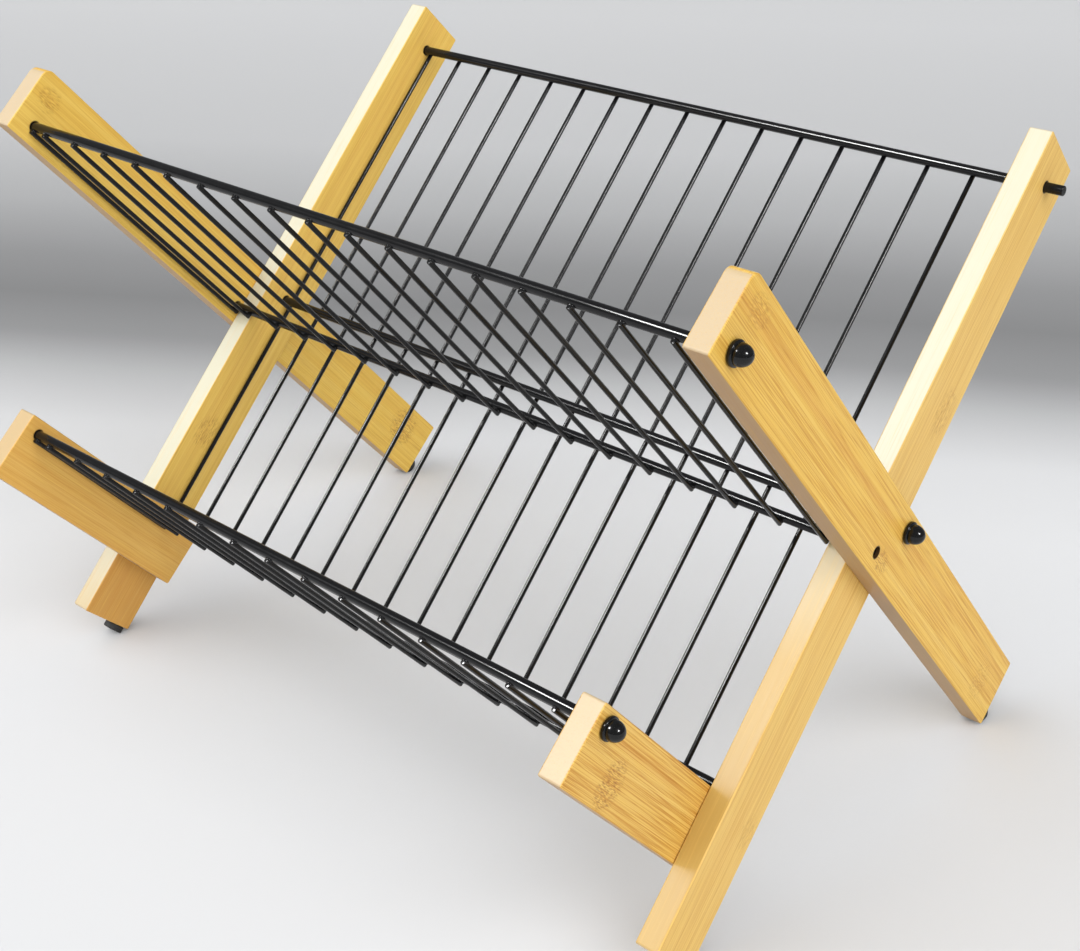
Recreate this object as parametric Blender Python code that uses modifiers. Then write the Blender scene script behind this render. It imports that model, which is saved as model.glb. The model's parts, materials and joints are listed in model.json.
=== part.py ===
"""Folding two-tier dish drying rack: bamboo bars, welded wire panels, black caps and feet.

Frame: +X is the user's right, +Y runs to the back, +Z is up, metres.  The floor is z = 0
and the origin is the middle of the rack's footprint.  Two long legs lean back and carry
the back panel; two short legs cross outside them on the pivot rod and carry the front
panel; two lower arms are hinged inside the long legs and carry the lower panel.

Side view: a point on a bar is given by s, the distance up the bar from its lower end,
and q, the distance from the bar's centre line, positive towards the bar's upper side.
"""

from math import cos, pi, radians, sin

import bmesh
import bpy
from mathutils import Matrix, Vector

# ---- driving dimensions (metres) -------------------------------------------------------
WIDTH = 0.420                      # across the outer faces of the short legs
BAR_WIDTH = 0.0354
BAR_THICKNESS = 0.0112
SEAT_GAP = 0.0003                  # clearance between pieces that touch

LONG_LENGTH = 0.3946
LONG_LEAN = radians(44.5)          # from upright, towards the back
SHORT_LENGTH = 0.3951
SHORT_LEAN = radians(41.6)         # from upright, towards the front
ARM_LENGTH = 0.1445
ARM_LEAN = SHORT_LEAN              # the lower arms stand parallel to the short legs

ROD_RADIUS = 0.0024
WIRE_RADIUS = 0.00115
WELD_SINK = 0.00025                # how far a wire is pressed into the rod it is welded to
WIRE_OVERHANG = 0.0012             # wire past the axis of the last rod it crosses
HOLE_RADIUS = ROD_RADIUS + SEAT_GAP

BACK_ROD_S = 0.3756                # long legs: the back panel's upper and lower rods
STOP_ROD_S = 0.0720
BACK_PANEL_Q = -0.0002
PIVOT_ROD_S = 0.2046               # long legs: the pivot rod, clear of the panel's wires
PIVOT_ROD_Q = 0.0003
FRONT_ROD_S = 0.3822               # short legs: the top rod of the front panel
PANEL_ROD_Q = -0.0091              # short legs: both rods of the front panel
PIVOT_ON_SHORT_Q = 0.0095          # short legs: the pivot hole
ARM_PIVOT_S = 0.0627               # long legs: the blind hole that the arms' rod turns in
ARM_PIVOT_Q = 0.0095
PIVOT_ON_ARM_S = 0.0277            # arms: the pivot rod and the front rod
ARM_ROD_S = 0.1352

WIRE_COUNT = 17                    # evenly spaced wires of the back and front panels
LOWER_WIRE_COUNT = 15              # evenly spaced wires of the lower panel
WIRE_PITCH = 0.0234
BACK_WIRE_PITCH = 0.0232           # clear of the long legs' inner faces
EDGE_WIRE_GAP = 0.00025            # front and lower panels: last wire to the bar beside it

BLIND_DEPTH = 0.0065               # blind holes in the long legs
STUB_LENGTH = 0.0088               # bare end of the back rod outside the long legs
ROD_INTO_CAP = 0.0042
RECESS = 0.0012                    # how far the front panel's lower rod ends inside its hole

CAP_FLANGE_RADIUS = 0.0051
CAP_FLANGE_HEIGHT = 0.0016
CAP_FLANGE_EASE = 0.0003
CAP_DOME_RADIUS = 0.0043
CAP_DOME_BASE = 0.0020             # height above the wood where the dome starts
CAP_HEIGHT = 0.0076

FOOT_RADIUS = 0.0053
FOOT_THICKNESS = 0.0034
FOOT_INSET = 0.0005                # from the bar's lowest edge
FOOT_LIFT = 0.0012                 # height of the bar's lowest edge above the floor

EDGE_EASE = 0.0008
CORNER_ROUND = 0.0045              # upper back corner of the short legs

# ---- side-view directions and bar frames ------------------------------------------------
LONG_UP = Vector((0.0, sin(LONG_LEAN), cos(LONG_LEAN)))
LONG_FRONT = Vector((0.0, -cos(LONG_LEAN), sin(LONG_LEAN)))
SHORT_UP = Vector((0.0, -sin(SHORT_LEAN), cos(SHORT_LEAN)))
SHORT_BACK = Vector((0.0, cos(SHORT_LEAN), sin(SHORT_LEAN)))
ARM_UP = Vector((0.0, -sin(ARM_LEAN), cos(ARM_LEAN)))
ARM_BACK = Vector((0.0, cos(ARM_LEAN), sin(ARM_LEAN)))

HALF = BAR_WIDTH / 2
FLOOR_CORNER = Vector((0.0, 0.0, FOOT_LIFT))


def point(base, up, across, s, q, x=0.0):
    """The point at (s, q) on a bar, at sideways position x."""
    return base + up * s + across * q + Vector((x, 0.0, 0.0))


def bar_frames():
    """Lower centre points of the long leg, the short leg and the arm, in the side view."""
    long_base = FLOOR_CORNER + LONG_FRONT * HALF
    pivot = point(long_base, LONG_UP, LONG_FRONT, PIVOT_ROD_S, PIVOT_ROD_Q)
    rise = pivot.z - FOOT_LIFT - sin(SHORT_LEAN) * (PIVOT_ON_SHORT_Q + HALF)
    pivot_s = rise / cos(SHORT_LEAN)
    short_base = pivot - SHORT_UP * pivot_s - SHORT_BACK * PIVOT_ON_SHORT_Q
    arm_pivot = point(long_base, LONG_UP, LONG_FRONT, ARM_PIVOT_S, ARM_PIVOT_Q)
    stop = point(long_base, LONG_UP, LONG_FRONT, STOP_ROD_S, BACK_PANEL_Q)
    stop_q = HALF + ROD_RADIUS + SEAT_GAP
    arm_q = stop_q - (stop - arm_pivot).dot(ARM_BACK)
    arm_base = arm_pivot - ARM_UP * PIVOT_ON_ARM_S - ARM_BACK * arm_q
    back_y = long_base.y + LONG_UP.y * LONG_LENGTH - LONG_FRONT.y * HALF
    front_y = arm_base.y + ARM_UP.y * ARM_LENGTH - ARM_BACK.y * HALF
    centre = Vector((0.0, (back_y + front_y) / 2, 0.0))
    return long_base - centre, short_base - centre, arm_base - centre, pivot_s, arm_q


LONG_BASE, SHORT_BASE, ARM_BASE, PIVOT_ON_SHORT_S, ARM_ROD_Q = bar_frames()


def on_long(s, q, x=0.0):
    return point(LONG_BASE, LONG_UP, LONG_FRONT, s, q, x)


def on_short(s, q, x=0.0):
    return point(SHORT_BASE, SHORT_UP, SHORT_BACK, s, q, x)


def on_arm(s, q, x=0.0):
    return point(ARM_BASE, ARM_UP, ARM_BACK, s, q, x)


def front_stop_s():
    """How far up the short legs the lower front rod sits, to rest on the long legs."""
    stop_q = HALF + ROD_RADIUS + SEAT_GAP
    start = (on_short(0.0, PANEL_ROD_Q) - on_long(0.0, 0.0)).dot(LONG_FRONT)
    return (stop_q - start) / SHORT_UP.dot(LONG_FRONT)


FRONT_STOP_S = front_stop_s()

# ---- sideways layers: outer face of each pair of bars -----------------------------------
SHORT_OUTER = WIDTH / 2
LONG_OUTER = SHORT_OUTER - BAR_THICKNESS - SEAT_GAP
ARM_OUTER = LONG_OUTER - BAR_THICKNESS - SEAT_GAP
SHORT_INNER = SHORT_OUTER - BAR_THICKNESS
ARM_INNER = ARM_OUTER - BAR_THICKNESS

# ---- colours ----------------------------------------------------------------------------
BAMBOO = (0.78, 0.56, 0.30, 1.0)
BLACK_STEEL = (0.015, 0.015, 0.017, 1.0)
BLACK_PLASTIC = (0.010, 0.010, 0.011, 1.0)
BLACK_RUBBER = (0.020, 0.020, 0.020, 1.0)

# ---- smoothness of round pieces ---------------------------------------------------------
ROD_SIDES = 16
WIRE_SIDES = 8
CAP_STEPS = 16
DOME_STEPS = 5
FOOT_SIDES = 24


def clear_scene():
    for item in list(bpy.data.objects):
        bpy.data.objects.remove(item, do_unlink=True)


def new_collection(name):
    collection = bpy.data.collections.new(name)
    bpy.context.scene.collection.children.link(collection)
    return collection


def finish_material(name, colour, roughness, metallic):
    material = bpy.data.materials.new(name)
    material.use_nodes = True
    shader = material.node_tree.nodes["Principled BSDF"]
    shader.inputs["Base Color"].default_value = colour
    shader.inputs["Roughness"].default_value = roughness
    shader.inputs["Metallic"].default_value = metallic
    material.diffuse_color = colour
    return material


def link_mesh(name, shape, collection, material=None):
    """Turn a bmesh into a named object in a collection."""
    mesh = bpy.data.meshes.new(name)
    shape.to_mesh(mesh)
    shape.free()
    if material is not None:
        mesh.materials.append(material)
    item = bpy.data.objects.new(name, mesh)
    collection.objects.link(item)
    return item


def hide_as_cutter(item):
    item.hide_render = True
    item.display_type = "WIRE"


def smooth_round(item, angle):
    item.data.shade_smooth()
    item.data.set_sharp_from_angle(angle=radians(angle))


def cylinder(name, start, end, radius, sides, collection, material=None):
    """A straight closed cylinder between two points."""
    shape = bmesh.new()
    run = end - start
    bmesh.ops.create_cone(shape, cap_ends=True, segments=sides, radius1=radius,
                          radius2=radius, depth=run.length)
    turn = Vector((0.0, 0.0, 1.0)).rotation_difference(run.normalized()).to_matrix().to_4x4()
    spin = Matrix.Rotation(pi / sides, 4, "Z")
    bmesh.ops.transform(shape, matrix=turn @ spin, verts=shape.verts)
    item = link_mesh(name, shape, collection, material)
    item.location = (start + end) / 2
    return item


def rod(name, centre, left, right, collection, material=None):
    """A cross rod of the rack, along X from left to right."""
    start = Vector((left, centre.y, centre.z))
    end = Vector((right, centre.y, centre.z))
    item = cylinder(name, start, end, ROD_RADIUS, ROD_SIDES, collection, material)
    smooth_round(item, 40)
    return item


def bar(name, side, outer, base, lean, length, rounded, holes, parts, cutters, material):
    """A bamboo bar with eased edges, drilled across.

    side is +1 on the right and -1 on the left, outer the sideways place of its outer
    face.  Each hole is (centre on the bar's side view, inner depth, outer depth): how far
    from the bar's middle plane it reaches towards the rack's middle and outwards.
    """
    middle = side * (outer - BAR_THICKNESS / 2)
    shape = bmesh.new()
    bmesh.ops.create_cube(shape, size=1.0)
    size = Matrix.Diagonal((BAR_THICKNESS, BAR_WIDTH, length, 1.0))
    lift = Matrix.Translation((0.0, 0.0, length / 2))
    bmesh.ops.transform(shape, matrix=lift @ size, verts=shape.verts)
    if rounded:
        corner = [edge for edge in shape.edges
                  if all(v.co.y > HALF * 0.9 and v.co.z > length * 0.9 for v in edge.verts)]
        bmesh.ops.bevel(shape, geom=corner, offset=CORNER_ROUND, segments=5, profile=0.5,
                        affect="EDGES")
    item = link_mesh(name, shape, parts, material)
    item.location = base + Vector((middle, 0.0, 0.0))
    item.rotation_euler = (lean, 0.0, 0.0)
    ease = item.modifiers.new("eased_edges", "BEVEL")
    ease.width = EDGE_EASE
    ease.segments = 2
    ease.limit_method = "ANGLE"
    ease.angle_limit = radians(60)
    for number, (centre, inner, outward) in enumerate(holes, 1):
        start = centre + Vector((middle - side * inner, 0.0, 0.0))
        end = centre + Vector((middle + side * outward, 0.0, 0.0))
        drill = cylinder(f"{name}_drill_{number}", start, end, HOLE_RADIUS, ROD_SIDES, cutters)
        hide_as_cutter(drill)
        cut = item.modifiers.new(f"hole_{number}", "BOOLEAN")
        cut.operation = "DIFFERENCE"
        cut.solver = "EXACT"
        cut.object = drill
    return item


def bars(parts, cutters, bamboo):
    """The six bamboo bars: long legs, short legs and lower arms."""
    through = BAR_THICKNESS
    blind = BLIND_DEPTH - BAR_THICKNESS / 2
    long_holes = [(on_long(BACK_ROD_S, BACK_PANEL_Q), through, through),
                  (on_long(PIVOT_ROD_S, PIVOT_ROD_Q), through, through),
                  (on_long(STOP_ROD_S, BACK_PANEL_Q), through, blind),
                  (on_long(ARM_PIVOT_S, ARM_PIVOT_Q), through, blind)]
    short_holes = [(on_short(FRONT_ROD_S, PANEL_ROD_Q), through, through),
                   (on_short(FRONT_STOP_S, PANEL_ROD_Q), through, through),
                   (on_short(PIVOT_ON_SHORT_S, PIVOT_ON_SHORT_Q), through, through)]
    arm_holes = [(on_arm(ARM_ROD_S, ARM_ROD_Q), through, through),
                 (on_arm(PIVOT_ON_ARM_S, ARM_ROD_Q), through, through)]
    made = {}
    for word, side in (("left", -1), ("right", 1)):
        made["long_leg_" + word] = bar("long_leg_" + word, side, LONG_OUTER, LONG_BASE,
                                       -LONG_LEAN, LONG_LENGTH, False, long_holes, parts,
                                       cutters, bamboo)
        made["short_leg_" + word] = bar("short_leg_" + word, side, SHORT_OUTER, SHORT_BASE,
                                        SHORT_LEAN, SHORT_LENGTH, True, short_holes, parts,
                                        cutters, bamboo)
        made["lower_arm_" + word] = bar("lower_arm_" + word, side, ARM_OUTER, ARM_BASE,
                                        ARM_LEAN, ARM_LENGTH, False, arm_holes, parts,
                                        cutters, bamboo)
    return made


def wire_places(count, pitch):
    """Sideways places of evenly spaced wires about the middle."""
    return [(number - (count - 1) / 2) * pitch for number in range(count)]


def welded_panel(name, rods, low, high, outward, places, parts, cutters, steel):
    """Cross rods and the wires welded to their outer side, joined into one solid.

    rods is a list of (centre, left end, right end); low and high are the axes of the
    first and last rod that the wires cross, and outward the side that the wires are on.
    """
    along = (high - low).normalized()
    offset = outward * (ROD_RADIUS + WIRE_RADIUS - WELD_SINK)
    welded = bpy.data.collections.new(name + "_welded")
    cutters.children.link(welded)
    for number, place in enumerate(places, 1):
        shift = offset + Vector((place, 0.0, 0.0))
        start = low - along * WIRE_OVERHANG + shift
        end = high + along * WIRE_OVERHANG + shift
        wire = cylinder(f"{name}_wire_{number}", start, end, WIRE_RADIUS, WIRE_SIDES, welded)
        hide_as_cutter(wire)
    for number, (centre, left, right) in enumerate(rods[1:], 2):
        hide_as_cutter(rod(f"{name}_rod_{number}", centre, left, right, welded))
    item = rod(name, *rods[0], parts, steel)
    join = item.modifiers.new("welds", "BOOLEAN")
    join.operation = "UNION"
    join.solver = "EXACT"
    join.operand_type = "COLLECTION"
    join.collection = welded
    return item


def with_edge_wires(places, inner_face):
    """The same wires, and one more on each side that lies along the bar there."""
    edge = inner_face - EDGE_WIRE_GAP - WIRE_RADIUS
    return [-edge, *places, edge]


def panels(parts, cutters, steel):
    """The back, front and lower wire panels with their rods, and the pivot rod."""
    blind_end = LONG_OUTER - BAR_THICKNESS + BLIND_DEPTH - SEAT_GAP
    stub_end = LONG_OUTER + STUB_LENGTH
    capped_end = SHORT_OUTER + ROD_INTO_CAP
    recess_end = SHORT_OUTER - RECESS
    arm_end = ARM_OUTER + ROD_INTO_CAP
    back_rod = on_long(BACK_ROD_S, BACK_PANEL_Q)
    stop_rod = on_long(STOP_ROD_S, BACK_PANEL_Q)
    back_rods = [(back_rod, -stub_end, stub_end), (stop_rod, -blind_end, blind_end)]
    front_rod = on_short(FRONT_ROD_S, PANEL_ROD_Q)
    rest_rod = on_short(FRONT_STOP_S, PANEL_ROD_Q)
    front_rods = [(front_rod, -capped_end, capped_end), (rest_rod, -recess_end, recess_end)]
    arm_rod = on_arm(ARM_ROD_S, ARM_ROD_Q)
    arm_pivot = on_arm(PIVOT_ON_ARM_S, ARM_ROD_Q)
    lower_rods = [(arm_rod, -arm_end, arm_end), (arm_pivot, -blind_end, blind_end)]
    back_wires = wire_places(WIRE_COUNT, BACK_WIRE_PITCH)
    front_wires = with_edge_wires(wire_places(WIRE_COUNT, WIRE_PITCH), SHORT_INNER)
    lower_wires = with_edge_wires(wire_places(LOWER_WIRE_COUNT, WIRE_PITCH), ARM_INNER)
    pivot_rod = on_long(PIVOT_ROD_S, PIVOT_ROD_Q)
    return {
        "pivot_rod": rod("pivot_rod", pivot_rod, -capped_end, capped_end, parts, steel),
        "back_panel": welded_panel("back_panel", back_rods, stop_rod, back_rod,
                                   -LONG_FRONT, back_wires, parts, cutters, steel),
        "front_panel": welded_panel("front_panel", front_rods, rest_rod, front_rod,
                                    -SHORT_BACK, front_wires, parts, cutters, steel),
        "lower_panel": welded_panel("lower_panel", lower_rods, arm_pivot, arm_rod,
                                    -ARM_BACK, lower_wires, parts, cutters, steel),
    }


def cap_profile():
    """Half section of a cap (radius, height above the wood), outer side first."""
    dome_rise = CAP_HEIGHT - CAP_DOME_BASE
    angles = [step * pi / 2 / DOME_STEPS for step in range(DOME_STEPS + 1)]
    dome = [(CAP_DOME_RADIUS * sin(angle), CAP_DOME_BASE + dome_rise * cos(angle))
            for angle in angles]
    rim = [(CAP_FLANGE_RADIUS - CAP_FLANGE_EASE, CAP_FLANGE_HEIGHT),
           (CAP_FLANGE_RADIUS, CAP_FLANGE_HEIGHT - CAP_FLANGE_EASE),
           (CAP_FLANGE_RADIUS, 0.0)]
    bore_depth = ROD_INTO_CAP + SEAT_GAP
    bore = [(HOLE_RADIUS, 0.0), (HOLE_RADIUS, bore_depth), (0.0, bore_depth)]
    return dome + rim + bore


def cap(name, side, face, centre, parts, plastic):
    """A turned push-on cap on a rod's end, against the bar's outer face."""
    profile = cap_profile()
    shape = bmesh.new()
    corners = [shape.verts.new((radius, 0.0, height)) for radius, height in profile]
    for first, second in zip(corners, corners[1:]):
        shape.edges.new((first, second))
    item = link_mesh(name, shape, parts, plastic)
    item.location = Vector((side * (face + SEAT_GAP), centre.y, centre.z))
    item.rotation_euler = (0.0, side * pi / 2, 0.0)
    turn = item.modifiers.new("turned", "SCREW")
    turn.axis = "Z"
    turn.angle = 2 * pi
    turn.steps = CAP_STEPS
    turn.render_steps = CAP_STEPS
    turn.use_merge_vertices = True
    turn.merge_threshold = 0.00002
    turn.use_smooth_shade = True
    return item


def caps(parts, plastic):
    """Six caps: on the pivot rod, the front rod and the arms' rod."""
    pivot = on_long(PIVOT_ROD_S, PIVOT_ROD_Q)
    front = on_short(FRONT_ROD_S, PANEL_ROD_Q)
    arm = on_arm(ARM_ROD_S, ARM_ROD_Q)
    made = {}
    for word, side in (("left", -1), ("right", 1)):
        made["pivot_cap_" + word] = cap("pivot_cap_" + word, side, SHORT_OUTER, pivot,
                                        parts, plastic)
        made["front_cap_" + word] = cap("front_cap_" + word, side, SHORT_OUTER, front,
                                        parts, plastic)
        made["arm_cap_" + word] = cap("arm_cap_" + word, side, ARM_OUTER, arm, parts,
                                      plastic)
    return made


def foot(name, middle, base, up, across, parts, floor_block, rubber):
    """A round rubber pad on a leg's end, worn flat where it stands on the floor."""
    centre_q = -HALF + FOOT_INSET + FOOT_RADIUS
    top = point(base, up, across, -SEAT_GAP, centre_q, middle)
    bottom = point(base, up, across, -SEAT_GAP - FOOT_THICKNESS, centre_q, middle)
    item = cylinder(name, bottom, top, FOOT_RADIUS, FOOT_SIDES, parts, rubber)
    smooth_round(item, 40)
    cut = item.modifiers.new("floor_flat", "BOOLEAN")
    cut.operation = "DIFFERENCE"
    cut.solver = "EXACT"
    cut.object = floor_block
    return item


def feet(parts, cutters, rubber):
    """Four pads, one at the lowest edge of each leg."""
    shape = bmesh.new()
    bmesh.ops.create_cube(shape, size=1.0)
    bmesh.ops.transform(shape, matrix=Matrix.Translation((0.0, 0.0, -0.5)),
                        verts=shape.verts)
    floor_block = link_mesh("floor_block", shape, cutters)
    hide_as_cutter(floor_block)
    made = {}
    for word, side in (("left", -1), ("right", 1)):
        long_middle = side * (LONG_OUTER - BAR_THICKNESS / 2)
        short_middle = side * (SHORT_OUTER - BAR_THICKNESS / 2)
        made["front_foot_" + word] = foot("front_foot_" + word, long_middle, LONG_BASE,
                                          LONG_UP, LONG_FRONT, parts, floor_block, rubber)
        made["back_foot_" + word] = foot("back_foot_" + word, short_middle, SHORT_BASE,
                                         SHORT_UP, SHORT_BACK, parts, floor_block, rubber)
    return made


def hang_on_pivot(name, centre, members, parts):
    """An empty on a hinge axis that carries the pieces that turn about it."""
    pivot = bpy.data.objects.new(name, None)
    pivot.empty_display_size = 0.02
    pivot.location = centre
    parts.objects.link(pivot)
    bpy.context.view_layer.update()
    for item in members:
        item.parent = pivot
        item.matrix_parent_inverse = pivot.matrix_world.inverted()
    return pivot


def build():
    clear_scene()
    parts = new_collection("dish_drying_rack")
    cutters = new_collection("cutters")
    bamboo = finish_material("bamboo", BAMBOO, 0.5, 0.0)
    steel = finish_material("black_coated_steel", BLACK_STEEL, 0.35, 0.0)
    plastic = finish_material("black_plastic", BLACK_PLASTIC, 0.2, 0.0)
    rubber = finish_material("black_rubber", BLACK_RUBBER, 0.8, 0.0)
    made = bars(parts, cutters, bamboo)
    made.update(panels(parts, cutters, steel))
    made.update(caps(parts, plastic))
    made.update(feet(parts, cutters, rubber))
    front_frame = [made[name] for name in (
        "short_leg_left", "short_leg_right", "front_panel", "front_cap_left",
        "front_cap_right", "back_foot_left", "back_foot_right")]
    lower_frame = [made[name] for name in (
        "lower_arm_left", "lower_arm_right", "lower_panel", "arm_cap_left",
        "arm_cap_right")]
    hang_on_pivot("front_frame_pivot", on_long(PIVOT_ROD_S, PIVOT_ROD_Q), front_frame, parts)
    hang_on_pivot("lower_frame_pivot", on_long(ARM_PIVOT_S, ARM_PIVOT_Q), lower_frame, parts)


build()
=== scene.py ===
# Looks of a folding bamboo dish drying rack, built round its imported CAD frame.
# Metres; +X right, +Y back, +Z up.  Every bamboo bar, rod, wire, cap and foot is made
# again here with its fine shape, on the place that its CAD node gives, and gets a
# procedural finish.  On a bar, s is the distance up from its lower end and q the
# distance from its centre line towards its upper side.

import json
from math import cos, pi, radians, sin

import bmesh
import bpy
import numpy as np
from mathutils import Matrix


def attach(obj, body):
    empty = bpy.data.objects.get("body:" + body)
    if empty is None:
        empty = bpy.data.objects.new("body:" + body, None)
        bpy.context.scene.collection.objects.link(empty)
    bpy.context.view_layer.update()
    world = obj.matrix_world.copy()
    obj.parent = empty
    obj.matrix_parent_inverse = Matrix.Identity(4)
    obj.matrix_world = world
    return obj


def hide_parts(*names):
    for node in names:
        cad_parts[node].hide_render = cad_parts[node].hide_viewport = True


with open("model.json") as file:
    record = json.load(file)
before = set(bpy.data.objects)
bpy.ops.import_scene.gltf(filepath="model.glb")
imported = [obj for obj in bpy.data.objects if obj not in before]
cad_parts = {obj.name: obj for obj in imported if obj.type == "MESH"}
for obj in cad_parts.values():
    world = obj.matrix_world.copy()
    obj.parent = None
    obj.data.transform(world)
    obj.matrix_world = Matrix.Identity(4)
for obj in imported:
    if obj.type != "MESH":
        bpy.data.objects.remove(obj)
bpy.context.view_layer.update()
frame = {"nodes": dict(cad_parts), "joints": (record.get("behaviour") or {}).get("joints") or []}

# ---- sizes of the real pieces ---------------------------------------------------------------
LONG_LEAN = radians(44.5)        # the long legs lean back
SHORT_LEAN = radians(-41.6)      # the short legs and the lower arms lean forward

ROD_RADIUS = 0.0024
WIRE_RADIUS = 0.00115
WIRE_BEHIND_ROD = 0.0033         # from a rod's axis to the axis of the wires welded to it
WIRE_OVERHANG = 0.0012
EDGE_WIRE_GAP = 0.00025          # from a bar's inner face to the wire beside it
WELD_SPREAD = 0.0017             # half the length and half the width of a weld bead
WELD_HEIGHT = 0.0010
WELD_SINK = 0.0001
BACK_WIRES = (17, 0.0232)        # count and spacing
FRONT_WIRES = (17, 0.0234)
LOWER_WIRES = (15, 0.0234)

BACK_ROD = (0.3756, -0.0002)     # (s, q) on the long legs
STOP_ROD = (0.0720, -0.0002)
FRONT_ROD = (0.3822, -0.0091)    # (s, q) on the short legs
REST_ROD = (0.20675, -0.0091)
ARM_ROD = (0.1352, 0.01046)      # (s, q) on the arms

BLIND_COVER = 0.0050             # from a rod's hidden end to the long leg's outer face
STUB_REACH = 0.0088              # bare end of the back panel's upper rod, past the long leg
CAPPED_REACH = 0.0042            # a capped rod's end, past the bar
RECESS = 0.0012                  # from the rest rod's end to the short leg's outer face
CAP_GAP = 0.0003

HOLE_RADIUS = 0.0027
DRILL_REACH = 1.4                # past the middle plane, in half thicknesses of the bar
BLIND_REACH = 0.16               # the same for a hole that stays blind
EASE = 0.0007                    # eased long edges of the bars
CRISP_CORNER = 0.0011
ROUNDED_CORNER = 0.0050          # upper back corner of the short legs
STRIP_WIDTH = 0.0071             # of the glued strips across a bar


# ---- the bars' places, read from the CAD nodes ------------------------------------------------
class Bar:
    """A bamboo bar's place: its lower centre point, its directions and its size."""

    def __init__(self, node, lean):
        self.node = node
        self.lean = lean
        self.side = 1.0 if node.endswith("right") else -1.0
        self.up = np.array([0.0, sin(lean), cos(lean)])
        self.upper = np.array([0.0, -cos(lean), sin(lean)]) * np.sign(lean)
        corners = np.array([vertex.co for vertex in frame["nodes"][node].data.vertices])
        along = corners @ self.up
        across = corners @ self.upper
        self.length = np.ptp(along)
        self.width = np.ptp(across)
        self.thickness = np.ptp(corners[:, 0])
        self.middle = (corners[:, 0].max() + corners[:, 0].min()) / 2
        centre_q = (across.max() + across.min()) / 2
        self.foot = self.up * along.min() + self.upper * centre_q
        self.foot[0] = self.middle

    def at(self, s, q, x=0.0):
        """Points at s up the bar, q across it and x sideways from its middle plane."""
        s, q, x = (np.asarray(value)[..., None] for value in (s, q, x))
        return self.foot + s * self.up + q * self.upper + x * np.array([1.0, 0.0, 0.0])

    def side_view(self, place):
        """The y and z of a point (s, q), as a point on the rack's middle plane."""
        return self.at(*place) * np.array([0.0, 1.0, 1.0])


bars = {node: Bar(node, lean) for side in ("left", "right") for node, lean in (
    ("long_leg_" + side, LONG_LEAN), ("short_leg_" + side, SHORT_LEAN),
    ("lower_arm_" + side, SHORT_LEAN))}
hinges = {joint["name"]: np.array(joint["pos_m"]) for joint in frame["joints"]}

pivot = hinges["front_frame_fold"]
arm_pivot = hinges["lower_frame_fold"]
back_rod = bars["long_leg_right"].side_view(BACK_ROD)
stop_rod = bars["long_leg_right"].side_view(STOP_ROD)
front_rod = bars["short_leg_right"].side_view(FRONT_ROD)
rest_rod = bars["short_leg_right"].side_view(REST_ROD)
arm_rod = bars["lower_arm_right"].side_view(ARM_ROD)


# ---- meshes ---------------------------------------------------------------------------------
SHARP_DEGREES = 35.0              # an edge that turns by more than this stays sharp


def piece_from(name, shells, finish, sharp_degrees=SHARP_DEGREES):
    """One object from closed shells, each a list of points and a list of faces."""
    points, faces, start = [], [], 0
    for shell_points, shell_faces in shells:
        points.append(np.asarray(shell_points))
        faces.extend([[corner + start for corner in face] for face in shell_faces])
        start += len(shell_points)
    mesh = bpy.data.meshes.new(name)
    mesh.from_pydata(np.concatenate(points).tolist(), [], faces)
    shape = bmesh.new()
    shape.from_mesh(mesh)
    bmesh.ops.recalc_face_normals(shape, faces=shape.faces)
    shape.to_mesh(mesh)
    shape.free()
    mesh.shade_smooth()
    mesh.set_sharp_from_angle(angle=radians(sharp_degrees))
    mesh.materials.append(finish)
    piece = bpy.data.objects.new(name, mesh)
    bpy.context.scene.collection.objects.link(piece)
    return piece


def rings_to_faces(rings, columns, start=0):
    """Quads between neighbouring closed rings of points, numbered ring by ring."""
    ring = np.arange(rings - 1)[:, None] * columns + start
    column = np.arange(columns)[None, :]
    after = (column + 1) % columns
    quads = np.stack([ring + column, ring + after, ring + columns + after,
                      ring + columns + column], axis=-1)
    return quads.reshape(-1, 4).tolist()


def closed_faces(rings, columns):
    """Faces of rings between two poles: points 0 and 1 are the poles, the rings follow."""
    faces = rings_to_faces(rings, columns, 2)
    last = 2 + (rings - 1) * columns
    for column in range(columns):
        after = (column + 1) % columns
        faces.append([0, 2 + after, 2 + column])
        faces.append([1, last + column, last + after])
    return faces


def turned(profile, start, direction, sides):
    """A closed turned solid: the profile (radius, height) swept round an axis.

    Point (i, j) lies at start + height_i * direction + radius_i * (cos a_j * u + sin a_j
    * w), where u and w are square to the direction.  The first and last profile points
    are on the axis and become single poles.
    """
    profile = np.asarray(profile)
    direction = np.asarray(direction) / np.linalg.norm(direction)
    u = np.cross(direction, [1.0, 0.0, 0.0] if abs(direction[0]) < 0.9 else [0.0, 1.0, 0.0])
    u /= np.linalg.norm(u)
    w = np.cross(direction, u)
    angle = np.arange(sides) * 2 * pi / sides
    spoke = np.cos(angle)[:, None] * u + np.sin(angle)[:, None] * w
    radius, height = profile[1:-1, 0], profile[1:-1, 1]
    rings = start + height[:, None, None] * direction + radius[:, None, None] * spoke
    poles = start + profile[[0, -1], 1][:, None] * direction
    points = np.concatenate([poles, rings.reshape(-1, 3)])
    return points, closed_faces(len(radius), sides)


def quarter(centre_radius, centre_height, radius, first, last, steps):
    """Points of an arc on a profile, between two angles in degrees from the outside."""
    angle = np.radians(np.linspace(first, last, steps))
    return np.stack([centre_radius + radius * np.cos(angle),
                     centre_height + radius * np.sin(angle)], axis=-1)


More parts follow.
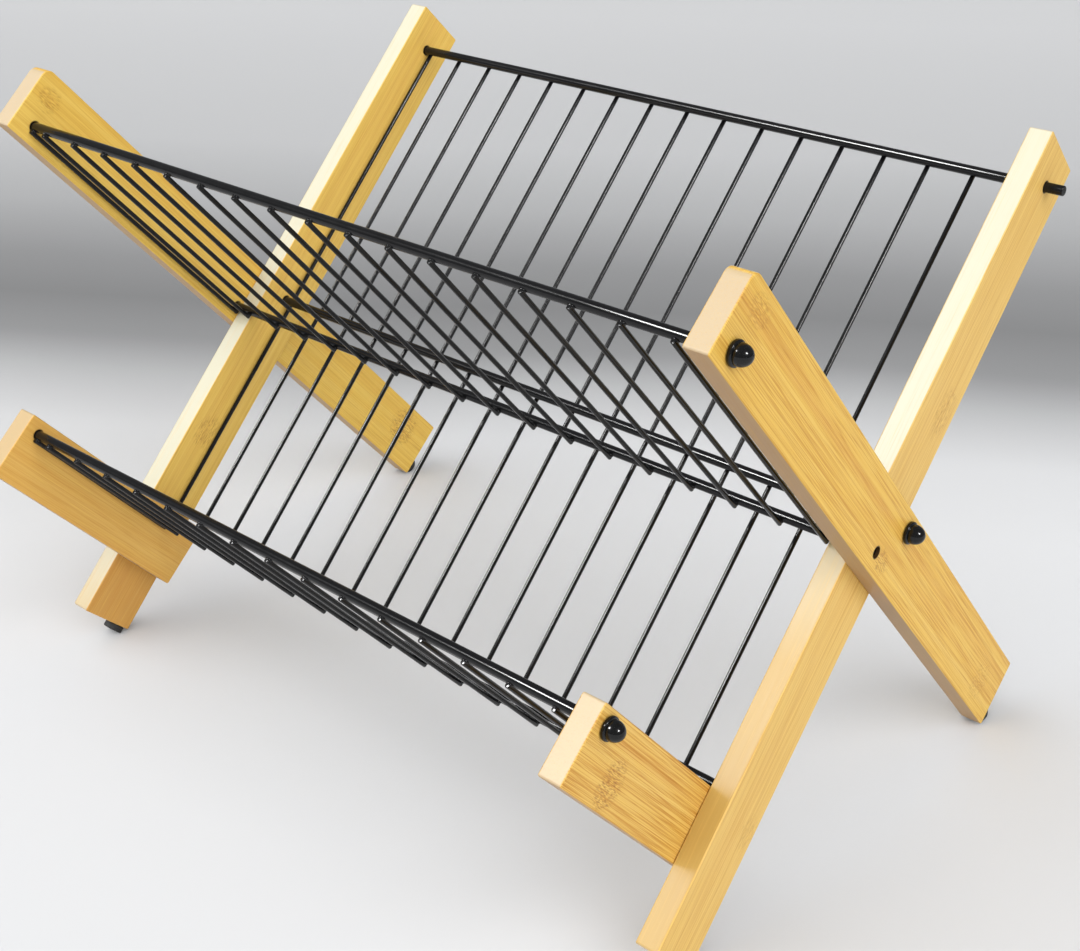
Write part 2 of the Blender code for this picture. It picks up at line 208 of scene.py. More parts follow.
def round_bar(start, end, radius, sides, ease):
    """A straight rod or wire: a circle carried from start to end, with eased ends."""
    length = np.linalg.norm(end - start)
    rows = 5
    low = quarter(radius - ease, ease, ease, -90.0, 0.0, rows)
    high = quarter(radius - ease, length - ease, ease, 0.0, 90.0, rows)
    heights = np.linspace(ease, length - ease, rows + 2)[1:-1]
    middle = np.stack([np.full(rows, radius), heights], axis=-1)
    profile = np.concatenate([[[0.0, 0.0]], low, middle, high, [[0.0, length]]])
    return turned(profile, start, end - start, sides)


def weld(centre, along_rod, along_wire, outward):
    """A small bead where a wire meets a rod: a flat ellipsoid, round seen from outside."""
    sides, rows = 10, 7
    lean = np.linspace(0.0, pi, rows + 2)[1:-1]
    turn = np.arange(sides) * 2 * pi / sides
    rod_part = (np.sin(lean)[:, None] * np.cos(turn) * WELD_SPREAD)[..., None] * along_rod
    wire_part = (np.sin(lean)[:, None] * np.sin(turn) * WELD_SPREAD)[..., None] * along_wire
    out_part = (np.cos(lean)[:, None] * np.ones(sides) * WELD_HEIGHT)[..., None] * outward
    rings = (centre + rod_part + wire_part + out_part).reshape(-1, 3)
    poles = np.array([centre + outward * WELD_HEIGHT, centre - outward * WELD_HEIGHT])
    return np.concatenate([poles, rings]), closed_faces(rows, sides)


def bar_outline(length, width, inset, rounds):
    """Side outline of a bar (s, q) with four corner arcs, drawn in by an inset."""
    half = width / 2
    corners = ((0.0, -half, 180.0), (0.0, half, 90.0), (length, half, 0.0),
               (length, -half, 270.0))
    outline = []
    for (s, q, first), rounding in zip(corners, rounds):
        centre_s = s + rounding * (1.0 if s == 0.0 else -1.0)
        centre_q = q - rounding * np.sign(q)
        angle = np.radians(np.linspace(first + 90.0, first, 9))
        reach = rounding - inset
        outline.append(np.stack([centre_s + reach * np.cos(angle),
                                 centre_q + reach * np.sin(angle)], axis=-1))
    return np.concatenate(outline)


def bar_shell(bar, rounds):
    """A bar: its side outline carried across its thickness, drawn in along a quarter
    circle next to both side faces, which are flat."""
    turn = np.radians(np.linspace(90.0, 0.0, 5))
    half = bar.thickness / 2
    inset = EASE * (1 - np.cos(turn))
    depth = half - EASE + EASE * np.sin(turn)
    insets = np.concatenate([inset, inset[::-1]])
    depths = np.concatenate([-depth, depth[::-1]])
    rings = [bar.at(*bar_outline(bar.length, bar.width, drawn_in, rounds).T, x)
             for drawn_in, x in zip(insets, depths)]
    columns = len(rings[0])
    faces = rings_to_faces(len(rings), columns)
    faces.append(list(range(columns))[::-1])
    faces.append([(len(rings) - 1) * columns + column for column in range(columns)])
    return np.concatenate(rings), faces


def drill(piece, holes):
    """Cuts round holes, each (start, end, radius), out of a piece."""
    drills = []
    for number, (start, end, radius) in enumerate(holes):
        length = np.linalg.norm(end - start)
        profile = [[0.0, 0.0], [radius, 0.0], [radius, length], [0.0, length]]
        tool = piece_from(f"drill_{number}", [turned(profile, start, end - start, 48)], None)
        cut = piece.modifiers.new("hole", "BOOLEAN")
        cut.operation = "DIFFERENCE"
        cut.solver = "EXACT"
        cut.object = tool
        drills.append(tool)
    bpy.context.view_layer.update()
    ready = piece.evaluated_get(bpy.context.evaluated_depsgraph_get())
    mesh = bpy.data.meshes.new_from_object(ready)
    piece.modifiers.clear()
    piece.data = mesh
    for tool in drills:
        bpy.data.objects.remove(tool, do_unlink=True)
    mesh.shade_smooth()
    mesh.set_sharp_from_angle(angle=radians(SHARP_DEGREES))
    even = piece.modifiers.new("even_shading", "WEIGHTED_NORMAL")
    even.keep_sharp = True


# ---- shader maths -----------------------------------------------------------------------------
class Value:
    """A socket of a finish that does sums: each expression adds a Math node."""

    def __init__(self, finish, socket):
        self.finish = finish
        self.socket = socket

    def math(self, operation, *others, clamp=False):
        """This value and others through one Math node."""
        settings = {"operation": operation, "use_clamp": clamp}
        inputs = dict(enumerate((self,) + others))
        return self.finish.node("ShaderNodeMath", settings, inputs)

    def __add__(self, other):
        return self.math("ADD", other)

    __radd__ = __add__

    def __sub__(self, other):
        return self.math("SUBTRACT", other)

    def __rsub__(self, other):
        return (self * -1.0) + other

    def __mul__(self, other):
        return self.math("MULTIPLY", other)

    __rmul__ = __mul__

    def __truediv__(self, other):
        return self.math("DIVIDE", other)

    def __abs__(self):
        return self.math("ABSOLUTE")

    def clamped(self):
        """The value held between 0 and 1."""
        return self.math("ADD", 0.0, clamp=True)


class Finish:
    """A procedural material being mixed on a Principled shader."""

    def __init__(self, name):
        self.material = bpy.data.materials.new(name)
        self.material.use_nodes = True
        self.tree = self.material.node_tree
        self.shader = self.tree.nodes["Principled BSDF"]

    def node(self, kind, settings, inputs, output=0):
        """Any node: its settings or ramp stops first, then its sockets' values or links."""
        made = self.tree.nodes.new(kind)
        stops = settings.pop("stops", None)
        for key, value in settings.items():
            setattr(made, key, value)
        if stops:
            ramp = made.color_ramp
            for place, _ in stops[2:]:
                ramp.elements.new(place)
            for element, (place, colour) in zip(ramp.elements, stops):
                element.position = place
                element.color = (*colour, 1.0)
        for key, value in inputs.items():
            if isinstance(value, Value):
                self.tree.links.new(value.socket, made.inputs[key])
            else:
                made.inputs[key].default_value = value
        return Value(self, made.outputs[output])

    def feed(self, **sockets):
        """Sets or links the shader's sockets; an underscore stands for a space."""
        for key, value in sockets.items():
            socket = self.shader.inputs[key.replace("_", " ")]
            if isinstance(value, Value):
                self.tree.links.new(value.socket, socket)
            else:
                socket.default_value = value

    def place(self):
        """Object coordinates."""
        return self.node("ShaderNodeTexCoord", {}, {}, "Object")

    def stretched(self, vector, scale, shift=(0.0, 0.0, 0.0)):
        """A vector times a scale plus a shift, each by axis."""
        return self.node("ShaderNodeVectorMath", {"operation": "MULTIPLY_ADD"},
                         {0: vector, 1: scale, 2: shift})

    def noise(self, vector, scale, detail=2.0, roughness=0.5, shift=(0.0, 0.0, 0.0)):
        """Noise on a stretched vector, about 0.5 on average."""
        spread = self.stretched(vector, scale, shift)
        return self.node("ShaderNodeTexNoise", {"noise_dimensions": "3D"},
                         {"Vector": spread, "Scale": 1.0, "Detail": detail,
                          "Roughness": roughness})

    def parts(self, vector):
        """The x, y and z of a vector."""
        split = self.node("ShaderNodeSeparateXYZ", {}, {"Vector": vector})
        outputs = split.socket.node.outputs
        return [Value(self, outputs[axis]) for axis in range(3)]

    def mixed(self, factor, first, second):
        """Two colours mixed by a factor."""
        settings = {"data_type": "RGBA", "blend_type": "MIX"}
        first = first if isinstance(first, Value) else (*first, 1.0)
        second = second if isinstance(second, Value) else (*second, 1.0)
        return self.node("ShaderNodeMix", settings, {0: factor, 6: first, 7: second}, 2)

    def bumped(self, height, strength, depth):
        """A normal from a height field, depth metres high."""
        return self.node("ShaderNodeBump", {}, {"Height": height, "Strength": strength,
                                                "Distance": depth}, "Normal")


# ---- finishes ---------------------------------------------------------------------------------
HONEY = (0.75, 0.472, 0.062)
PALE_HONEY = (0.80, 0.555, 0.115)
AMBER = (0.62, 0.300, 0.035)
GRAIN_BROWN = (0.46, 0.185, 0.016)
KNOT_BROWN = (0.31, 0.120, 0.024)
STRAW = (0.75, 0.535, 0.180)        # paler, drier bars
PAINTED_HIGHLIGHT_CREAM = (0.56, 0.545, 0.420)        # painted highlight on the upper narrow faces
TAN = (0.46, 0.290, 0.075)          # painted shade on the upper narrow faces lower down; also the end grain of browner bars
END_GRAIN_AND_PAINTED_SHEEN = (0.51, 0.405, 0.270)    # end grain, paler: partly its own colour, partly a painted highlight
PAINTED_UNDERSIDE_SHADE = (0.40, 0.255, 0.135)        # painted shade on the lower narrow faces
RUDDY = (0.60, 0.325, 0.105)        # browner bars
PAINTED_LOW_SHADE_CHESTNUT = (0.46, 0.205, 0.058)     # painted shade on the lowest part of a bar, where the arm shades it, redder too
PAINTED_HOLE_SHADE_AND_SCORCH = (0.035, 0.017, 0.008)      # painted shade inside the drilled holes, and a scorched ring round them

PAINTED_LOW_SHADE_TOP = 0.075                # there is no painted low shade above this s
PAINTED_LOW_SHADE_FADE = 0.035
PAINTED_HIGHLIGHT_FADE = 0.10                   # the painted highlight comes in over this length
SIDE_MARGIN = 0.0003                # the narrow faces' colour stops this far from the sides
SIDE_FADE = 0.0004                  # and fades in over this
NARROW_FACE_DEPTH = 0.0011          # how far in the colour of a narrow face reaches
END_GRAIN_DEPTH = 0.0009
FACE_FADE = 0.0006
SCORCH_WIDTH = 0.0006               # of the ring round a hole
BLIND_HOLE_SHADE = 0.0015               # how far the painted shade reaches past the middle plane, in a blind hole
BLIND_HOLE_SHADE_FADE = 0.0005


def bamboo(bar, seed, tone, knots, holes):
    """Clear-coated bamboo on one bar.

    Long bands, dark vessel lines and fine fibres run along it, and its glued strips
    differ a little in tone.  The upper narrow face is painted pale as a painted highlight,
    and tan lower down as painted shade; the end grain is paler, partly its own colour and
    partly a painted highlight; the lower narrow face is painted darker and greyer as painted
    shade.  Drilled holes (s, q) get painted shade inside and a scorched ring round them.
    Each knot (s, q, half length, half width, depth of colour) is a patch of short brown
    dashes.  The tone is how strong the lines are, how far the bar is from honey to straw,
    how brown it is, the s from which its upper narrow face turns from painted shade to
    painted highlight, and how far its lowest part is darkened, as painted shade, to a redder brown.
    """
    figure, straw, brown, painted_highlight_from, painted_low_shade = tone
    finish = Finish("bamboo_" + bar.node)
    turn = Matrix.Rotation(bar.lean, 3, "X")
    foot = np.array(turn) @ bar.foot
    grain = finish.node("ShaderNodeMapping", {"vector_type": "POINT"},
                        {"Vector": finish.place(), "Rotation": (bar.lean, 0.0, 0.0),
                         "Location": tuple(-foot)})
    shift = (3.1 * seed, 5.7 * seed, 2.3 * seed)
    bands = finish.noise(grain, (70.0, 150.0, 1.6), 3.0, 0.55, shift)
    lines = finish.noise(grain, (240.0, 520.0, 3.6), 2.0, 0.45, shift)
    threads = finish.noise(grain, (700.0, 1250.0, 11.0), 2.0, 0.5, shift)
    fibres = finish.noise(grain, (2100.0, 2100.0, 30.0), 3.0, 0.6, shift)
    patches = finish.noise(grain, (40.0, 80.0, 7.0), 2.0, 0.5, shift)
    through, across, along = finish.parts(grain)
    upward = across * float(-np.sign(bar.lean))
    strips = across / STRIP_WIDTH + 0.5 * seed
    strip_tone = finish.node("ShaderNodeTexWhiteNoise", {"noise_dimensions": "1D"},
                             {"W": strips.math("FLOOR") + 11.0 * seed})
    seam_place = abs(strips.math("FRACT") - 0.5)
    seam = ((seam_place - 0.485) * 60.0).clamped()

    colour = finish.node("ShaderNodeValToRGB", {"stops": [
        (0.28, PALE_HONEY), (0.46, HONEY), (0.70, AMBER)]},
        {"Fac": bands * 0.62 + strip_tone * 0.18 + 0.05})
    colour = finish.mixed(straw, colour, STRAW)
    colour = finish.mixed(brown, colour, RUDDY)
    # Painted shade: the lowest part of the bar darkens to a redder brown where the arm shades it.
    if painted_low_shade:
        painted_low_shade_mask = ((PAINTED_LOW_SHADE_TOP - along) / PAINTED_LOW_SHADE_FADE).clamped()
        colour = finish.mixed(painted_low_shade_mask * painted_low_shade, colour, PAINTED_LOW_SHADE_CHESTNUT)
    vessel = (1.0 - abs(lines - 0.5) * 24.0).clamped()
    vessel = vessel * (patches * 2.6 - 0.70).clamped()
    colour = finish.mixed(vessel * (0.62 * figure), colour, GRAIN_BROWN)
    thread = (1.0 - abs(threads - 0.50) * 15.0).clamped()
    thread = thread * (1.7 - patches * 1.6).clamped()
    colour = finish.mixed(thread * (0.60 * figure), colour, GRAIN_BROWN)
    dashes = ((fibres - 0.55) * 6.0).clamped()
    colour = finish.mixed(dashes * 0.30, colour, AMBER)
    glints = ((0.45 - fibres) * 6.0).clamped()
    colour = finish.mixed(glints * 0.40, colour, PALE_HONEY)
    colour = finish.mixed(seam * 0.22, colour, AMBER)

    rag = finish.noise(grain, (160.0, 260.0, 160.0), 2.0, 0.6, shift)
    speckle = finish.noise(grain, (1500.0, 1700.0, 380.0), 1.0, 0.5, shift)
    for knot_s, knot_q, half_length, half_width, depth in knots:
        from_s = (along - knot_s) / half_length
        from_q = (upward - knot_q) / half_width
        away = from_s * from_s + from_q * from_q
        knot = ((1.0 - away) * 1.5 + (rag - 0.5) * 2.0).clamped()
        dark = ((speckle - 0.42) * 4.0).clamped() * knot
        light = ((0.40 - speckle) * 6.0).clamped() * knot
        colour = finish.mixed(dark * depth, colour, KNOT_BROWN)
        colour = finish.mixed(light * 0.45, colour, PALE_HONEY)

    from_side = bar.thickness / 2 - SIDE_MARGIN - abs(through)
    strength = (from_side / SIDE_FADE).clamped() * (0.95 - dashes * 0.30)
    # Painted light on the upper narrow face: tan painted shade low down, a pale painted highlight from
    # the given s up.
    height = ((along - painted_highlight_from) / PAINTED_HIGHLIGHT_FADE).clamped()
    in_upper = upward - bar.width / 2 + NARROW_FACE_DEPTH
    upper = strength * (in_upper / FACE_FADE).clamped()
    colour = finish.mixed(upper, colour, finish.mixed(height, TAN, PAINTED_HIGHLIGHT_CREAM))
    # Painted shade: the lower narrow face is darkened.
    in_lower = -1.0 * upward - bar.width / 2 + NARROW_FACE_DEPTH
    lower = strength * (in_lower / FACE_FADE).clamped()
    colour = finish.mixed(lower, colour, PAINTED_UNDERSIDE_SHADE)
    # The end grain is paler, partly its own colour and partly a painted highlight.
    in_end = abs(along - bar.length / 2) - bar.length / 2 + END_GRAIN_DEPTH
    end = strength * (in_end / FACE_FADE).clamped()
    colour = finish.mixed(end, colour, finish.mixed(brown * 0.7, END_GRAIN_AND_PAINTED_SHEEN, TAN))
    # Holes: painted shade on their walls, and a scorched ring round each mouth.
    for (hole_s, hole_q), goes_through in holes:
        from_s = along - hole_s
        from_q = upward - hole_q
        rim = (from_s * from_s + from_q * from_q).math("SQRT")
        hole_shade_and_scorch = ((HOLE_RADIUS + SCORCH_WIDTH - rim) / SCORCH_WIDTH).clamped()
        if not goes_through:
            depth_left = BLIND_HOLE_SHADE - through * bar.side
            hole_shade_and_scorch = hole_shade_and_scorch * (depth_left / BLIND_HOLE_SHADE_FADE).clamped()
        colour = finish.mixed(hole_shade_and_scorch * 0.97, colour, PAINTED_HOLE_SHADE_AND_SCORCH)

    relief = fibres * 0.5 + threads * 0.25 + lines * 0.25
    finish.feed(Base_Color=colour, Roughness=fibres * 0.20 + 0.34, Metallic=0.0,
                Normal=finish.bumped(relief, 0.35, 0.00012))
    finish.feed(Specular_IOR_Level=0.18, Coat_Weight=0.05, Coat_Roughness=0.30)
    return finish.material


def coated_steel():
    """Semi-gloss black powder coating: even orange peel and faint scuffs."""
    finish = Finish("coated_steel")
    place = finish.place()
    peel = finish.noise(place, (2600.0, 2600.0, 2600.0), 2.0, 0.5)
    scuff = finish.noise(place, (90.0, 140.0, 140.0), 3.0, 0.6)
    colour = finish.mixed(scuff, (0.0030, 0.0030, 0.0033), (0.0065, 0.0065, 0.0070))
    finish.feed(Base_Color=colour, Roughness=scuff * 0.10 + 0.12, Metallic=0.0,
                Normal=finish.bumped(peel, 0.15, 0.00002))
    finish.feed(Specular_IOR_Level=0.28)
    return finish.material


def cap_plastic():
    """Glossy black moulded plastic with a trace of flow and dust."""
    finish = Finish("cap_plastic")
    place = finish.place()
    flow = finish.noise(place, (500.0, 500.0, 500.0), 3.0, 0.6)
    dust = ((finish.noise(place, (3200.0, 3200.0, 3200.0), 2.0, 0.6) - 0.62) * 8.0).clamped()
    colour = finish.mixed(dust * 0.30, (0.0035, 0.0037, 0.0038), (0.040, 0.040, 0.038))
    finish.feed(Base_Color=colour, Roughness=flow * 0.12 + 0.10 + dust * 0.25, Metallic=0.0,
                Normal=finish.bumped(flow, 0.12, 0.00005))
    finish.feed(Specular_IOR_Level=0.35)
    return finish.material


def foot_rubber():
    """Matt black rubber, finely grained, with pale dust on the high spots."""
    finish = Finish("foot_rubber")
    place = finish.place()
    grain = finish.noise(place, (2400.0, 2400.0, 2400.0), 3.0, 0.65)
    smear = finish.noise(place, (260.0, 260.0, 260.0), 3.0, 0.6)
    colour = finish.mixed(((smear - 0.5) * 3.0).clamped() * 0.5, (0.012, 0.012, 0.012),
                          (0.038, 0.037, 0.035))
    finish.feed(Base_Color=colour, Roughness=grain * 0.2 + 0.66, Metallic=0.0,
                Normal=finish.bumped(grain, 0.4, 0.00006))
    return finish.material


# ---- bamboo bars --------------------------------------------------------------------------------
BAR_BODIES = {"long_leg": "long_frame", "short_leg": "front_frame", "lower_arm": "lower_frame"}
TONES = {                    # line strength, straw, brown, start of the painted highlight, painted low shade
    "long_leg_left": (0.50, 0.40, 0.0, -0.05, 0.70),
    "long_leg_right": (0.75, 0.75, 0.20, 0.13, 0.0),
    "short_leg_left": (0.60, 0.25, 0.0, 0.0, 0.0),
    "short_leg_right": (1.15, 0.20, 0.18, 0.0, 0.0),
    "lower_arm_left": (0.60, 0.0, 0.65, 0.0, 0.0),
    "lower_arm_right": (1.60, 0.40, 0.30, 0.0, 0.0),
}
KNOTS = {                    # s, q, half length, half width, depth of colour
    "long_leg_left": [(0.117, 0.004, 0.011, 0.010, 0.50)],
    "long_leg_right": [(0.262, -0.006, 0.014, 0.009, 0.40), (0.060, -0.010, 0.010, 0.008, 0.30)],
    "short_leg_left": [(0.384, 0.006, 0.008, 0.007, 0.45), (0.028, 0.004, 0.014, 0.014, 0.60)],
    "short_leg_right": [(0.380, 0.009, 0.011, 0.007, 0.40), (0.198, -0.010, 0.009, 0.006, 0.60),
                        (0.030, -0.004, 0.012, 0.012, 0.30)],
    "lower_arm_left": [(0.030, 0.012, 0.010, 0.006, 0.35)],
    "lower_arm_right": [(0.112, -0.007, 0.010, 0.013, 0.78)],
}


def across_bar(bar, place, goes_through):
    """A hole through a bar, or from its inner face to a little past its middle plane."""
    centre = bar.at(*place)
    half = np.array([bar.side * bar.thickness / 2, 0.0, 0.0])
    start = centre - half * DRILL_REACH
    end = centre + half * (DRILL_REACH if goes_through else BLIND_REACH)
    return start, end, HOLE_RADIUS


def place_on(bar, point):
    """The (s, q) of a point of the rack on a bar."""
    away = point - bar.foot
    return float(away @ bar.up), float(away @ bar.upper)


def hole_places(bar):
    """A bar's holes: each one's (s, q) and whether it goes right through."""
    if bar.node.startswith("long_leg"):
        return [(BACK_ROD, True), (place_on(bar, pivot), True), (STOP_ROD, False),
                (place_on(bar, arm_pivot), False)]
    if bar.node.startswith("short_leg"):
        return [(FRONT_ROD, True), (REST_ROD, True), (place_on(bar, pivot), True)]
    return [(ARM_ROD, True), (place_on(bar, arm_pivot), True)]


def make_bars():
    """The six bamboo bars, drilled, each with a finish of its own."""
    for seed, (node, bar) in enumerate(bars.items(), 1):
        top_back = ROUNDED_CORNER if node.startswith("short_leg") else CRISP_CORNER
        rounds = (CRISP_CORNER, CRISP_CORNER, top_back, CRISP_CORNER)
        kind = node.rsplit("_", 1)[0]
        holes = hole_places(bar)
        finish = bamboo(bar, seed, TONES[node], KNOTS[node], holes)
        piece = piece_from("bamboo_" + node, [bar_shell(bar, rounds)], finish)
        drill(piece, [across_bar(bar, place, goes_through) for place, goes_through in holes])
        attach(piece, BAR_BODIES[kind])
        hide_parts(node)


# ---- rods, wires and welds -----------------------------------------------------------------------
X = np.array([1.0, 0.0, 0.0])


def steel_piece(name, shells, steel, body, node):
    """One piece of black steel that rides a body and stands for a CAD node."""
    piece = piece_from(name, shells, steel, sharp_degrees=50.0)
    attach(piece, body)
    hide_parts(node)


def rod_shell(centre, reach):
    """A cross rod reaching the same way left and right."""
    return round_bar(centre - X * reach, centre + X * reach, ROD_RADIUS, 40, 0.0004)


def wire_places(spread, bar):
    """Sideways places of a panel's wires.  The front and lower panels have one more
    wire on each side, close to the bar there."""
    count, spacing = spread
    places = (np.arange(count) - (count - 1) / 2) * spacing
    if spread == BACK_WIRES:
        return places
    edge = bar.middle - bar.thickness / 2 - EDGE_WIRE_GAP - WIRE_RADIUS
    return np.concatenate([[-edge], places, [edge]])


def wire_shells(low, high, behind, places):
    """The parallel wires of a panel, from its low rod to its high rod."""
    along = (high - low) / np.linalg.norm(high - low)
    start = low - along * WIRE_OVERHANG + behind * WIRE_BEHIND_ROD
    end = high + along * WIRE_OVERHANG + behind * WIRE_BEHIND_ROD
    return [round_bar(start + X * x, end + X * x, WIRE_RADIUS, 20, 0.00035) for x in places]


def weld_shells(rods, along, behind, places):
    """A bead at every crossing of the wires with the given rods."""
    return [weld(rod + X * x + behind * (ROD_RADIUS - WELD_SINK), X, along, behind)
            for rod in rods for x in places]


def outer_face(bar):
    """The sideways place of a right-hand bar's outer face."""
    return bar.middle + bar.thickness / 2


def make_panels(steel):
    """The three wire panels, each two rods, its wires and its weld beads, and the pivot rod."""
    long_bar, short_bar, arm = (bars[name + "_right"] for name in BAR_BODIES)
    blind_end = outer_face(long_bar) - BLIND_COVER
    capped_end = outer_face(short_bar) + CAPPED_REACH
    stub_end = outer_face(long_bar) + STUB_REACH
    recessed_end = outer_face(short_bar) - RECESS
    arm_end = outer_face(arm) + CAPPED_REACH
    panels = (
        ("back", "long_frame", stop_rod, blind_end, back_rod, stub_end, long_bar, BACK_WIRES),
        ("front", "front_frame", rest_rod, recessed_end, front_rod, capped_end, short_bar,
         FRONT_WIRES),
        ("lower", "lower_frame", arm_pivot, blind_end, arm_rod, arm_end, arm, LOWER_WIRES),
    )
    for word, body, low, low_end, high, high_end, bar, spread in panels:
        node = word + "_panel"
        behind = -bar.upper
        steel_piece(word + "_low_rod", [rod_shell(low, low_end)], steel, body, node)
        steel_piece(word + "_high_rod", [rod_shell(high, high_end)], steel, body, node)
        places = wire_places(spread, bar)
        wires = wire_shells(low, high, behind, places)
        steel_piece(word + "_wires", wires, steel, body, node)
        beads = weld_shells((low, high), bar.up, behind, places)
        steel_piece(word + "_welds", beads, steel, body, node)
    steel_piece("centre_rod", [rod_shell(pivot, capped_end)], steel, "long_frame", "pivot_rod")


# ---- caps and feet ----------------------------------------------------------------------------------
def cap_profile():
    """An acorn cap from its tip to its flange, then up its bore (radius, height).

    The dome is a quarter of an ellipse on a short neck, and the flange has eased edges.
    """
    dome_radius, dome_base, dome_rise = 0.0044, 0.0026, 0.0050
    flange_middle, flange_top, flange_ease = 0.0046, 0.0012, 0.00055
    bore_mouth, bore_radius, bore_ease, bore_top = 0.0028, 0.0026, 0.0002, 0.0046
    angle = np.radians(np.linspace(90.0, 0.0, 14))[1:]
    dome = np.stack([dome_radius * np.cos(angle), dome_base + dome_rise * np.sin(angle)], axis=-1)
    neck = np.array([[0.00432, 0.0022], [0.00428, 0.00195]])
    shoulder = quarter(flange_middle, flange_top, flange_ease, 80.0, 0.0, 6)
    rim = quarter(flange_middle, flange_ease, flange_ease, 0.0, -90.0, 5)
    bore = [[bore_mouth, 0.0], [bore_radius, bore_ease], [bore_radius, bore_top], [0.0, bore_top]]
    tip = [[0.0, dome_base + dome_rise]]
    return np.concatenate([tip, dome, neck, shoulder, rim, bore])


def make_caps(plastic):
    """A cap on each end of the pivot rod and of the front and lower panels' upper rods."""
    caps = (("pivot_cap", "long_frame", pivot, "short_leg_right"),
            ("front_cap", "front_frame", front_rod, "short_leg_right"),
            ("arm_cap", "lower_frame", arm_rod, "lower_arm_right"))
    for name, body, centre, bar in caps:
        face = outer_face(bars[bar])
        for word, side in (("left", -1.0), ("right", 1.0)):
            start = centre * np.array([0.0, 1.0, 1.0]) + X * side * (face + CAP_GAP)
            shell = turned(cap_profile(), start, X * side, 48)
            piece = piece_from(f"round_{name}_{word}", [shell], plastic, sharp_degrees=50.0)
            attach(piece, body)
            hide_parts(f"{name}_{word}")


def make_feet(rubber):
    """Round pads on the legs' lower ends, pressed flat where they meet the floor."""
    radius, thickness, ease, top_ease = 0.0053, 0.0034, 0.0006, 0.0002
    gap, inward = 0.0003, 0.0005     # under the leg's end, and in from its lower side
    low = quarter(radius - ease, ease, ease, -90.0, 0.0, 6)
    high = quarter(radius - top_ease, thickness - top_ease, top_ease, 0.0, 90.0, 4)
    profile = np.concatenate([[[0.0, 0.0]], [[radius * 0.5, 0.0]], low, high,
                              [[0.0, thickness]]])
    for word in ("left", "right"):
        for name, body, leg in (("front_foot", "long_frame", "long_leg_"),
                                ("back_foot", "front_frame", "short_leg_")):
            bar = bars[leg + word]
            centre = bar.at(-gap - thickness, -bar.width / 2 + inward + radius)
            points, faces = turned(profile, centre, bar.up, 48)
            points[:, 2] = np.maximum(points[:, 2], 0.0)
            shell = (points, faces)
            piece = piece_from(f"rubber_{name}_{word}", [shell], rubber, sharp_degrees=40.0)
            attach(piece, body)
            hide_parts(f"{name}_{word}")


# ---- floor, lights and camera ------------------------------------------------------------------------
CAMERA_PLACE = np.array([0.50043, -0.55804, 0.52926])
CAMERA_HEADING = radians(42.593)       # turned left of +Y
CAMERA_DIP = radians(24.933)
CAMERA_ROLL = radians(-0.688)
LENS_MM = 56.517
LENS_SHIFT = (0.0583, -0.0940)
PAPER_TINT = np.array([0.800, 0.805, 0.815])
TONE_REACH = 3.0                       # the floor's tones are given up to this distance
FLOOR_REACH = 4.0
LIGHT_DISTANCE = 2.5
SKY_COLOUR = (0.95, 0.97, 1.0, 1.0)
SKY_STRENGTH = 0.30


def paper_floor():
    """Pale seamless paper, flat, with painted shade: even near the rack, a soft grey band of
    painted shade further behind it where a paper hollow would be, and pale again beyond,
    by distance along the floor away from the viewing side."""
    finish = Finish("pale_paper")
    place = finish.place()
    x, y = finish.parts(place)[:2]
    away = x * -sin(CAMERA_HEADING) + y * cos(CAMERA_HEADING)
    start = float(CAMERA_PLACE[0] * -sin(CAMERA_HEADING) + CAMERA_PLACE[1] * cos(CAMERA_HEADING))
    middle = float(CAMERA_PLACE[0] * cos(CAMERA_HEADING) + CAMERA_PLACE[1] * sin(CAMERA_HEADING))
    wave = finish.noise(place, (1.3, 1.3, 1.3), 2.0, 0.5)
    sideways = x * cos(CAMERA_HEADING) + y * sin(CAMERA_HEADING) - middle
    distance = (away - start) + sideways * 0.15 + (wave - 0.5) * 0.10 + 0.02
    # The dip in these tones is a band of painted shade, standing in for a paper hollow behind the rack.
    tones = [(0.0, 0.775), (0.95, 0.76), (1.05, 0.70), (1.13, 0.50), (1.20, 0.29),
             (1.29, 0.225), (1.38, 0.27), (1.52, 0.40), (1.72, 0.51), (2.30, 0.58)]
    stops = [(far / TONE_REACH, tuple(tone * PAPER_TINT)) for far, tone in tones]
    colour = finish.node("ShaderNodeValToRGB", {"stops": stops}, {"Fac": distance / TONE_REACH})
    tooth = finish.noise(place, (900.0, 900.0, 900.0), 3.0, 0.6)
    finish.feed(Base_Color=colour, Roughness=0.85, Metallic=0.0,
                Normal=finish.bumped(tooth, 0.08, 0.0001))
    finish.feed(Specular_IOR_Level=0.2)
    return finish.material


def make_floor():
    """One square of paper under the rack."""
    corners = [(x * FLOOR_REACH, y * FLOOR_REACH, 0.0)
               for x, y in ((-1, -1), (1, -1), (1, 1), (-1, 1))]
    mesh = bpy.data.meshes.new("floor")
    mesh.from_pydata(corners, [], [(0, 1, 2, 3)])
    mesh.materials.append(paper_floor())
    floor = bpy.data.objects.new("floor", mesh)
    bpy.context.scene.collection.objects.link(floor)


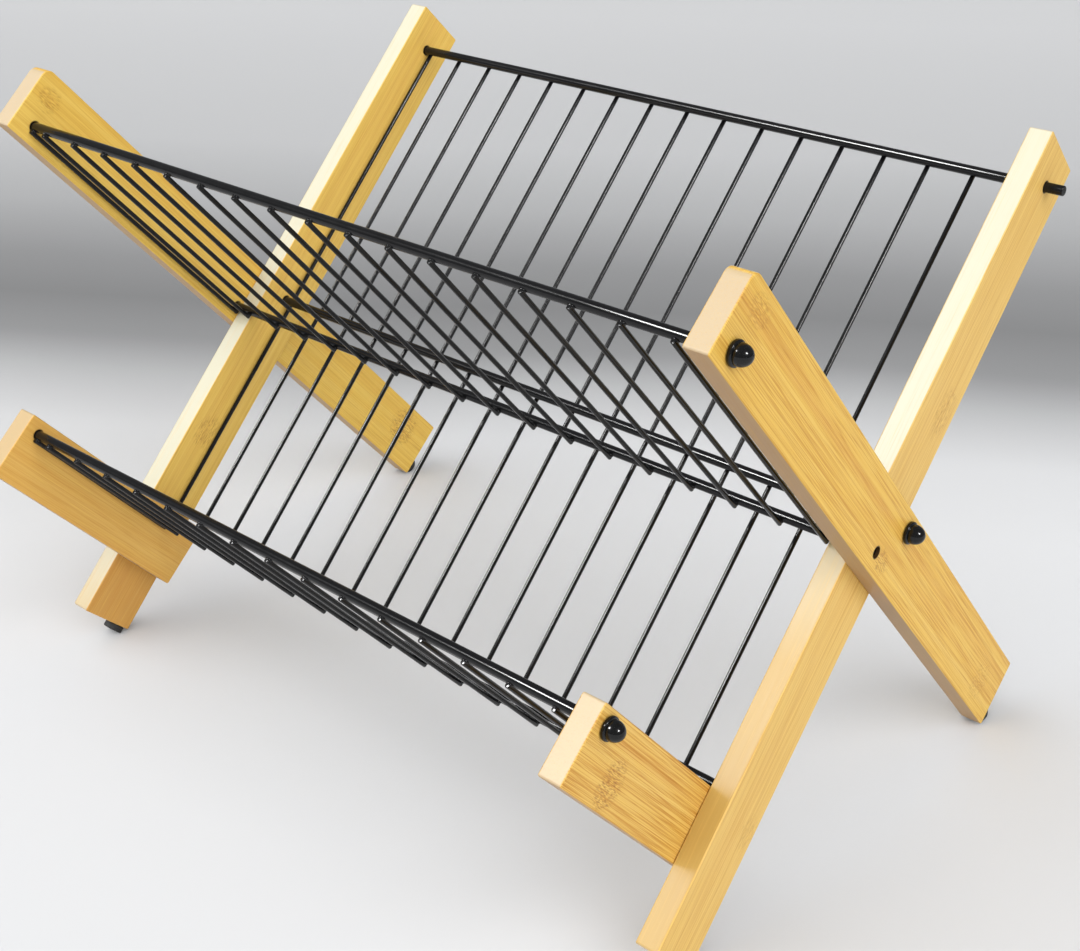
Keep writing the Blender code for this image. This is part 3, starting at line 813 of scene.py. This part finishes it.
def broad_light(name, towards, spread_degrees, strength, diffuse=True, glossy=True):
    """A distant soft light: the direction it lies in, how wide it looks, its strength,
    and whether it lights surfaces or only shines in them."""
    data = bpy.data.lights.new(name, "SUN")
    data.angle = radians(spread_degrees)
    data.energy = strength
    lamp = bpy.data.objects.new(name, data)
    place = np.array(towards) * LIGHT_DISTANCE
    lamp.matrix_world = facing(place, -place, np.array([0.0, 0.0, 1.0]))
    lamp.visible_diffuse = diffuse
    lamp.visible_glossy = glossy
    bpy.context.scene.collection.objects.link(lamp)


def facing(place, ahead, up):
    """A matrix at a place whose -Z looks ahead and whose Y is nearest to up."""
    ahead = ahead / np.linalg.norm(ahead)
    right = np.cross(ahead, up)
    right /= np.linalg.norm(right)
    top = np.cross(right, ahead)
    turn = np.stack([right, top, -ahead, np.array(place, float)], axis=-1)
    return Matrix(np.concatenate([turn, [[0.0, 0.0, 0.0, 1.0]]]).tolist())


def make_lights():
    """Two soft lights, each with a narrower one that only shines, and an even sky."""
    broad_light("key", (-0.34, -0.62, 0.71), 90.0, 3.2, glossy=False)
    broad_light("key_shine", (-0.42, -0.60, 0.68), 14.0, 4.5, diffuse=False)
    broad_light("right_fill", (0.80, -0.25, 0.55), 60.0, 2.35, glossy=False)
    broad_light("right_shine", (0.80, -0.10, 0.60), 12.0, 2.5, diffuse=False)
    world = bpy.data.worlds.new("studio")
    world.use_nodes = True
    background = world.node_tree.nodes["Background"]
    background.inputs["Color"].default_value = SKY_COLOUR
    background.inputs["Strength"].default_value = SKY_STRENGTH
    bpy.context.scene.world = world


def make_camera():
    """The camera, from its heading, dip and roll."""
    heading, dip, roll = CAMERA_HEADING, CAMERA_DIP, CAMERA_ROLL
    ahead = np.array([-sin(heading) * cos(dip), cos(heading) * cos(dip), -sin(dip)])
    level = np.array([cos(heading), sin(heading), 0.0])
    top = np.cross(level, ahead)
    data = bpy.data.cameras.new("camera")
    data.sensor_width = 36.0
    data.sensor_fit = "HORIZONTAL"
    data.lens = LENS_MM
    data.shift_x, data.shift_y = LENS_SHIFT
    camera = bpy.data.objects.new("camera", data)
    camera.matrix_world = facing(CAMERA_PLACE, ahead, top * cos(roll) - level * sin(roll))
    bpy.context.scene.collection.objects.link(camera)
    bpy.context.scene.camera = camera


make_bars()
make_panels(coated_steel())
make_caps(cap_plastic())
make_feet(foot_rubber())
make_floor()
make_lights()
make_camera()
bpy.context.scene.view_settings.view_transform = "Standard"
